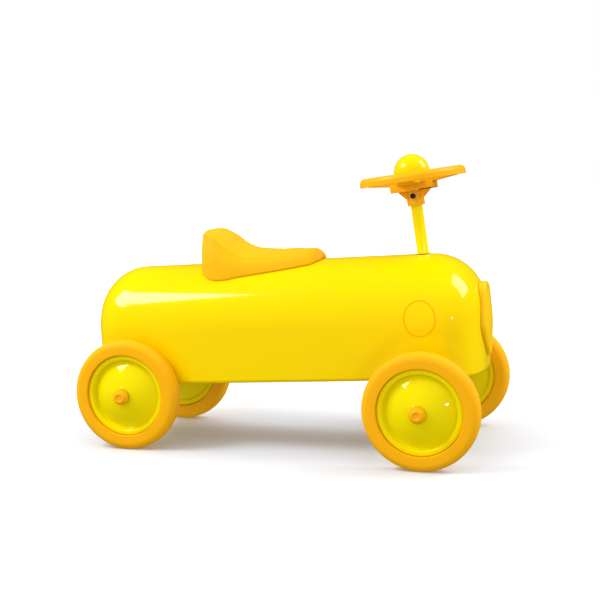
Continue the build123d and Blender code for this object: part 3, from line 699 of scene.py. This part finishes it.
# %% Seat cushion
def make_seat():
    """The cushion: sections every 1.4 mm, drawn together at both ends."""
    first, last = seat_stations[0][0], seat_stations[-1][0]
    rows = [(first - 0.3, first, 0.25), (first - 0.2, first, 0.6), (first, first, 0.85)]
    rows += [(u, u, 1.0) for u in np.arange(first + 0.5, last + 0.01, 1.4)]
    rows += [(last + 0.5, last, 0.8), (last + 0.8, last, 0.4)]
    rings = [seat_section(u, shrink) for _, u, shrink in rows]
    columns = len(rings[0])
    points = [from_body(place, v, w) for (place, _, _), ring in zip(rows, rings) for v, w in ring]
    faces = grid_faces(len(rows), columns, close_columns=True)
    faces += [tuple(range(columns)), tuple(range((len(rows) - 1) * columns, len(rows) * columns))]
    seat = mesh_object("padded_seat", points, faces, leatherette, "chassis", 180)
    divide = seat.modifiers.new("round", "SUBSURF")
    divide.levels = divide.render_levels = 1
    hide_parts("seat_cushion")
    return seat


padded_seat = make_seat()
print("seat", len(padded_seat.data.vertices), "points before the last subdivision")

# %% [markdown]
# The steering wheel is one ABS moulding. It leans back with the column, so it is built
# upright on its own axis and then set on the column's line: a rim with a hollow underside,
# dished spokes, a round hub with a groove for the horn button, and a ribbed socket below
# that clamps on the column.

# %% Steering wheel sizes and place
lean_back = radians(7.56)
wheel_middle = Vector((171.72, 0.0, 362.0)) * MM
steer_place = Matrix.Translation(wheel_middle) @ Matrix.Rotation(-lean_back, 4, "Y")
rim_outer, rim_inner = 70.4, 57.4
hub_radius, dome_radius = 27.8, 23.6
print("steering wheel", 2 * rim_outer, "mm across")


# %% Blocks and plates
def finish_piece(work, name, material, body, place):
    """Turns edited geometry into a smooth piece at a place, riding on a body."""
    bmesh.ops.transform(work, matrix=place, verts=work.verts)
    mesh = bpy.data.meshes.new(name)
    work.to_mesh(mesh)
    work.free()
    mesh.materials.append(material)
    mesh.shade_smooth()
    mesh.set_sharp_from_angle(angle=radians(50))
    obj = bpy.data.objects.new(name, mesh)
    bpy.context.scene.collection.objects.link(obj)
    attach(obj, body)
    return obj


def rounded_block(name, low, high, place, material, body, radius=1.2, steps=3, shape=None):
    """A box in mm with softened edges; shape may move its corner points first."""
    work = bmesh.new()
    bmesh.ops.create_cube(work, size=1.0)
    for vert in work.verts:
        at = [low[i] + (high[i] - low[i]) * (vert.co[i] + 0.5) for i in range(3)]
        vert.co = Vector(shape(*at) if shape else at) * MM
    bmesh.ops.bevel(work, geom=list(work.edges), offset=radius * MM, segments=steps, profile=0.5,
                    affect="EDGES", clamp_overlap=True)
    return finish_piece(work, name, material, body, place)


def flat_plate(name, outline, thick, place, material, body):
    """An outline of (x, z) points in mm, drawn upright and given thickness along y, with soft edges."""
    work = bmesh.new()
    low = [work.verts.new(Vector((x, -thick / 2, z)) * MM) for x, z in outline]
    high = [work.verts.new(Vector((x, thick / 2, z)) * MM) for x, z in outline]
    work.faces.new(low)
    work.faces.new(list(reversed(high)))
    for i in range(len(outline)):
        k = (i + 1) % len(outline)
        work.faces.new((low[i], high[i], high[k], low[k]))
    bmesh.ops.recalc_face_normals(work, faces=work.faces)
    bmesh.ops.bevel(work, geom=list(work.edges), offset=0.4 * MM, segments=2, profile=0.5,
                    affect="EDGES", clamp_overlap=True)
    return finish_piece(work, name, material, body, place)


# %% Steering wheel outlines
rim_outline = [(rim_inner, 2.2), (rim_inner + 2.2, 5.2), (63.6, 6.0), (67.8, 4.6), (70.0, 1.2),
               (rim_outer, -5.6), (68.9, -5.6), (68.3, -0.6), (65.6, 2.0), (61.6, 2.4), (59.4, 0.4),
               (59.0, -4.0), (rim_inner, -4.0)]
rim_rounding = [2.4, 2.6, 4.0, 3.8, 2.6, 0.6, 0.6, 1.5, 1.5, 1.5, 1.0, 0.7, 0.7]
hub_outline = [(0.0, 0.0), (23.9, 0.0), (23.9, 5.0), (hub_radius, 5.0), (hub_radius, 0.0), (26.6, -8.6),
               (0.0, -8.6)]
hub_rounding = [0, 0.3, 0.5, 1.2, 2.0, 1.2, 0]
sleeve_outline = [(8.0, -8.6), (11.6, -8.6), (11.6, -18.0), (11.6, -30.0), (11.6, -38.4), (7.9, -38.4)]
sleeve_rounding = [0, 0, 1.0, 1.0, 0.7, 0.3]
print("outlines", len(rim_outline), len(hub_outline), len(sleeve_outline), "points")

# %% Spokes and clamp block
spoke_inner, spoke_outer, spoke_half_width, spoke_rise = 19.0, 60.5, 12, 5.0
spoke_low, spoke_high = -11.0, -5.4
wall, tray_floor, tray_top = 2.4, -18.5, -8.0
reach, across = 28.7, 17.0  # half the clamp block's length and width
tray_walls = [
    ("side", (-reach, across - wall, tray_floor), (reach, across, tray_top)),
    ("roof", (-reach, 0.0, -11.4), (reach, across - 1.0, tray_top)),
    ("end_front", (reach - wall, 1.6, tray_floor), (reach, across - 0.5, tray_top)),
    ("end_rear", (-reach, 1.6, tray_floor), (wall - reach, across - 0.5, tray_top)),
    ("floor", (9.0, 0.0, tray_floor), (reach, across, -16.6)),
]
gusset_off_middle = 8.2
gusset_outline = [(7.6, -18.0), (20.0, -18.0), (20.0, -19.4), (10.6, -29.0), (7.6, -29.0)]


def spoke_shape(x, y, z):
    """Spokes rise from the hub to the rim and are widest at the hub."""
    rise = (x - spoke_inner) / (spoke_outer - spoke_inner)
    return x, y * (1.15 - 0.3 * rise), z + spoke_rise * rise


print("clamp block", 2 * reach, "by", 2 * across, "mm")


# %% Steering wheel
def make_spokes():
    """Four dished spokes, a quarter turn apart."""
    low, high = (spoke_inner, -spoke_half_width, spoke_low), (spoke_outer, spoke_half_width, spoke_high)
    spokes = []
    for i in range(4):
        turn = steer_place @ Matrix.Rotation(i * pi / 2, 4, "Z")
        spokes.append(rounded_block(f"steering_spoke_{i + 1}", low, high, turn, wheel_abs, "column", 1.8, 3,
                                    spoke_shape))
    return spokes


def make_clamp_block():
    """A shallow tray, cut into four cells by its middle wall and the socket, with a gusset in each."""
    made = []
    for side_name, side in (("left", 1), ("right", -1)):
        flip = steer_place @ Matrix.Diagonal((1, side, 1, 1))
        for label, low, high in tray_walls:
            name = f"hub_tray_{label}_{side_name}"
            made.append(rounded_block(name, low, high, flip, wheel_abs, "column", 0.5, 2))
        for end_name, end in (("front", 1), ("rear", -1)):
            name = f"hub_gusset_{end_name}_{side_name}"
            gusset = [(end * x, z) for x, z in gusset_outline]
            stand = steer_place @ Matrix.Translation((0, side * gusset_off_middle * MM, 0))
            made.append(flat_plate(name, gusset, wall, stand, wheel_abs, "column"))
    return made


def make_steering_wheel():
    """Rim, hub and socket are turned; the spokes and the clamp block are blocks and plates."""
    rim = lathe("steering_rim", soften(rim_outline, rim_rounding, closed=True), steer_place, wheel_abs,
                "column", turns=192)
    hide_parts("steering_wheel")
    hub = lathe("steering_hub", soften(hub_outline, hub_rounding), steer_place, wheel_abs, "column",
                turns=96, closed=False)
    socket = lathe("steering_socket", soften(sleeve_outline, sleeve_rounding, closed=True), steer_place,
                   wheel_abs, "column", turns=64)
    pieces = [rim, hub, socket] + make_spokes() + make_clamp_block()
    print("steering wheel pieces", len(pieces))


make_steering_wheel()

# %% [markdown]
# Where the column goes through the hood a nylon sleeve keeps steel off painted steel.
# Only its thin lip shows. It is made black as painted shade: the lip draws the dark line of
# shade in the gap round the foot of the column.

# %% Hood sleeve
hood_middle = Vector((185.31, 0, 259.58)) * MM
hood_place = Matrix.Translation(hood_middle) @ Matrix.Rotation(-pitch, 4, "Y")
hood_outline = [(8.0, -14.0), (12.6, -14.0), (12.6, -1.6), (8.75, -1.4), (8.75, 0.25), (8.4, 0.45),
                (8.0, 0.25)]
hood_sleeve = lathe("hood_sleeve", hood_outline, hood_place, shade_black_nylon, "chassis", turns=64)
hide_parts("column_upper_bush")
print("sleeve at", [round(c, 4) for c in hood_middle])

# %% [markdown]
# The horn button is a hollow polished dome. It slides in the hub's groove and has its own
# body, so it moves when it is pressed.

# %% Horn button
dome_centre, dome_foot, dome_wall = 5.9, 3.8, 2
inner_radius = dome_radius - dome_wall
outer_sweep, inner_sweep = np.linspace(0, pi / 2, 40), np.linspace(pi / 2, 0, 24)
dome_arc = [(dome_radius * cos(a), dome_centre + dome_radius * sin(a)) for a in outer_sweep]
inner_arc = [(inner_radius * cos(a), dome_centre + inner_radius * sin(a)) for a in inner_sweep]
dome_outline = [(dome_radius, dome_foot)] + dome_arc + inner_arc + [(inner_radius, dome_foot)]
horn_button = lathe("horn_button", dome_outline, steer_place, horn_abs, "horn", turns=128)
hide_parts("horn_dome")
print("horn button", 2 * dome_radius, "mm across")

# %% [markdown]
# The radiator grille is a thick moulded plate on the nose, shaped like a shield. A smooth
# closed curve gives its outline. Rings of that outline, each a little smaller and further
# forward, round its edge and crown its front.

# %% Grille sizes
grille_half = [(0, 200.5), (12, 199.3), (21.5, 191.5), (28, 174), (33, 155), (33, 142), (25, 127),
               (12, 111.5)]
grille_loop = grille_half + [(0, 102.8)] + [(-v, w) for v, w in reversed(grille_half[1:])]
grille_back, grille_middle_w = 482.05, 151.0
# the moulded edge ends this far in from the outline, and the crowned front starts there
edge_inset, edge_level = 6.6, 486.2
crown_rings, crown_rise, crown_step, crown_reach = 12, 3.4, 2.0, 24.5


def closed_curve(corners, per_side=10):
    """A smooth closed curve through the corners (Catmull-Rom)."""
    count = len(corners)
    out = []
    for i in range(count):
        p0, p1, p2, p3 = (Vector(corners[(i + k) % count]) for k in (-1, 0, 1, 2))
        for s in range(per_side):
            t = s / per_side
            out.append(0.5 * ((2 * p1) + (p2 - p0) * t + (2 * p0 - 5 * p1 + 4 * p2 - p3) * t * t
                              + (3 * p1 - p0 - 3 * p2 + p3) * t ** 3))
    return out


print("grille outline", len(grille_loop), "corners")


# %% Nose under the grille
def nose_skin(v, w):
    """How far forward the nose reaches at a place on it, in mm, found by halving."""
    low, high = body_front - 70.0, body_front
    for _ in range(30):
        u = (low + high) / 2
        half, crown = section_size(u)
        arch = max(w - spring, 0) / (crown - spring)
        if (v / half) ** 2 + arch ** 2 < 1:
            low = u
        else:
            high = u
    return low


print("nose at the grille's middle", round(nose_skin(0, grille_middle_w), 2))


# %% Grille
def make_grille():
    """Rings of the outline, each further in and forward, then closed at the back and front."""
    curve = closed_curve(grille_loop)
    # each ring: how far in from the outline in mm, and u of the ring
    profile = [(0.6, grille_back), (0.0, grille_back + 0.7), (0.0, 484.6), (0.35, 485.5), (1.1, 486.3),
               (2.3, 486.9), (3.8, 487.1), (4.8, 486.9), (5.6, 486.3), (edge_inset, edge_level)]
    for i in range(1, crown_rings + 1):
        swell = 1 - (1 - i / crown_rings) ** 2
        profile.append((edge_inset + crown_step * i, edge_level + crown_rise * swell))
    centre = Vector((0, grille_middle_w))
    points = []
    for step, (inset, level) in enumerate(profile):
        for i, place in enumerate(curve):
            # the back follows the curved nose, so the edge is deeper where the nose falls away
            u = min(level, nose_skin(place.x, place.y) + 0.3 + 0.7 * step) if step < 2 else level
            before, after = curve[i - 1], curve[(i + 1) % len(curve)]
            along = (after - before).normalized()
            inward = Vector((along.y, -along.x))
            if inward.dot(centre - place) < 0:
                inward = -inward
            at = place + inward * min(inset, edge_inset)
            at = at.lerp(centre, max(inset - edge_inset, 0) / crown_reach)
            points.append(from_body(u, at.x, at.y))
    columns = len(curve)
    faces = grid_faces(len(profile), columns, close_columns=True)
    faces += [tuple(range(columns)), tuple(range((len(profile) - 1) * columns, len(profile) * columns))]
    plate = mesh_object("radiator_grille", points, faces, grille_abs, "chassis")
    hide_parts("grille")
    print("grille", len(plate.data.vertices), "points")


make_grille()

# %% [markdown]
# The floor is a pale sheet of paper. Near the car it is tinted a cool blue-grey: painted shade
# colour that cancels the yellow light the body bounces into its shadow. There it glows very
# faintly. From 0.3 m to 1.3 m out from the car it turns white and its painted glow grows, so that it
# meets the white room with no edge. Mirror rays and bounced rays don't see it: under glossy
# yellow paint it would lay a grey band along the lower half of the body. The shadows on it stay.

# %% Floor
floor_half = 9
fade_start, fade_end = 0.3, 1.3
paper, paper_tree = new_material("white_studio_paper")
paper_place = add(paper_tree, "ShaderNodeTexCoord")
paper_away = add(paper_tree, "ShaderNodeVectorMath", {"operation": "LENGTH"},
                 Vector=paper_place.outputs["Object"])
paper_far = add(paper_tree, "ShaderNodeMapRange", {"interpolation_type": "SMOOTHSTEP"},
                Value=paper_away.outputs["Value"], From_Min=fade_start, From_Max=fade_end,
                To_Min=0.0, To_Max=1.0)
# Painted shade colour: a cool blue-grey near the car cancels the yellow light bounced into its shadow, and
# the paper is white farther out.
paper_shadow_tint = add(paper_tree, "ShaderNodeMix", {"data_type": "RGBA"}, Factor=paper_far.outputs["Result"])
paper_shadow_tint.inputs[6].default_value = linear("e6eaf3")
paper_shadow_tint.inputs[7].default_value = linear("ffffff")
paper_glow = add(paper_tree, "ShaderNodeMapRange", Value=paper_far.outputs["Result"], To_Min=0.03, To_Max=0.5)
paper_noise = add(paper_tree, "ShaderNodeTexNoise", Scale=40.0, Detail=2.0)
paper_dull = add(paper_tree, "ShaderNodeMapRange", Value=paper_noise.outputs["Fac"], To_Min=0.85, To_Max=0.95)
paper_shader = add(paper_tree, "ShaderNodeBsdfPrincipled", Base_Color=paper_shadow_tint.outputs[2],
                   Roughness=paper_dull.outputs["Result"], Emission_Color=linear("ffffff"),
                   Emission_Strength=paper_glow.outputs["Result"])
finish_material(paper, paper_tree, paper_shader)
floor_mesh = bpy.data.meshes.new("studio_floor")
corners = [(-1, -1), (1, -1), (1, 1), (-1, 1)]
floor_mesh.from_pydata([(x * floor_half, y * floor_half, 0) for x, y in corners], [], [(0, 1, 2, 3)])
floor_mesh.materials.append(paper)
floor = bpy.data.objects.new("studio_floor", floor_mesh)
bpy.context.scene.collection.objects.link(floor)
floor.visible_glossy = False
floor.visible_diffuse = False
print("floor", 2 * floor_half, "m square")

# %% [markdown]
# Two softboxes stand high, one behind the car on its right and one ahead of it: their
# window-shaped reflections are what makes the enamel read as gloss. A third, as small as
# a hand, puts the last spark on the nose. Sizes are in metres and powers in watts.

# %% Softboxes
def softbox(name, place, target, width, height, power):
    """A rectangular area light at a place, turned to face a target."""
    light = bpy.data.lights.new(name, "AREA")
    light.shape = "RECTANGLE"
    light.size, light.size_y, light.energy = width, height, power
    lamp = bpy.data.objects.new(name, light)
    bpy.context.scene.collection.objects.link(lamp)
    lamp.location = place
    lamp.rotation_euler = (Vector(target) - Vector(place)).to_track_quat("-Z", "Y").to_euler()


car_middle, nose_side = (0, 0, 0.15), (0.2, -0.13, 0.1)
softbox("softbox_rear_left", (-1.27, -0.79, 1.6), car_middle, 0.95, 0.7, 21)
softbox("softbox_front_right", (1.5, 0.45, 1.45), car_middle, 0.8, 1.1, 16)
softbox("small_kicker", (1.56, -1.3, 0.3), nose_side, 0.1, 0.1, 0.8)

# %% [markdown]
# The rest of the light is the white room. It is darker below the horizon, as it is under
# a car, which shapes the lower half of the body. Mirror rays see it dimmer and pale yellow,
# as if yellow flags stood round the car, so the paint keeps its colour and only the
# softboxes shine. What is seen directly behind the car stays white.

# %% Room
room_strength, flag_strength, ground_strength = 1.0, 0.42, 0.3
world = bpy.data.worlds.new("white_studio")
world.use_nodes = True
room = world.node_tree
room.nodes.clear()
ray = add(room, "ShaderNodeLightPath")
where = add(room, "ShaderNodeTexCoord")
height = add(room, "ShaderNodeSeparateXYZ", Vector=where.outputs["Generated"])
fill = add(room, "ShaderNodeMapRange", {"interpolation_type": "SMOOTHSTEP"}, Value=height.outputs["Z"],
           From_Min=-0.7, From_Max=0.0, To_Min=ground_strength, To_Max=room_strength)
seen = add(room, "ShaderNodeMix", {"data_type": "FLOAT"}, Factor=ray.outputs["Is Glossy Ray"])
room.links.new(fill.outputs["Result"], seen.inputs[2])
seen.inputs[3].default_value = flag_strength
level = add(room, "ShaderNodeMix", {"data_type": "FLOAT"}, Factor=ray.outputs["Is Camera Ray"])
room.links.new(seen.outputs[0], level.inputs[2])
level.inputs[3].default_value = 1.0
tone = add(room, "ShaderNodeMix", {"data_type": "RGBA"}, Factor=ray.outputs["Is Glossy Ray"])
tone.inputs[6].default_value = linear("ffffff")
tone.inputs[7].default_value = linear("ffe44a")
backdrop = add(room, "ShaderNodeBackground", Color=tone.outputs[2], Strength=level.outputs[0])
add(room, "ShaderNodeOutputWorld", Surface=backdrop.outputs[0])
bpy.context.scene.world = world
bpy.context.scene.view_settings.view_transform = "Standard"
print("room", room_strength, "in mirrors", flag_strength, "below the horizon", ground_strength)

# %% [markdown]
# The camera stands on the car's right, ahead of its middle and a little above the roof, so
# that the side, the nose and the top all show. Its lens is a short telephoto, which keeps
# the body's proportions. Its place is in metres. Roll is small and turns the whole frame.

# %% Camera
camera_place = Vector((0.50679, -1.59192, 0.40200))
camera_yaw, camera_pitch, camera_roll = radians(17.265), radians(7.0718), radians(1.3563)
camera_lens = 73.165
forward = Vector((-sin(camera_yaw) * cos(camera_pitch), cos(camera_yaw) * cos(camera_pitch),
                  -sin(camera_pitch)))
level_right = Vector((cos(camera_yaw), sin(camera_yaw), 0))
level_down = forward.cross(level_right)
right = level_right * cos(camera_roll) + level_down * sin(camera_roll)
down = level_down * cos(camera_roll) - level_right * sin(camera_roll)
camera_data = bpy.data.cameras.new("studio_camera")
camera_data.lens, camera_data.sensor_width = camera_lens, 36.0
camera = bpy.data.objects.new("studio_camera", camera_data)
bpy.context.scene.collection.objects.link(camera)
axes = Matrix((right, -down, -forward)).transposed().to_4x4()
camera.matrix_world = Matrix.Translation(camera_place) @ axes
bpy.context.scene.camera = camera
print("camera", [round(c, 3) for c in camera_place], "lens", camera_lens, "mm")
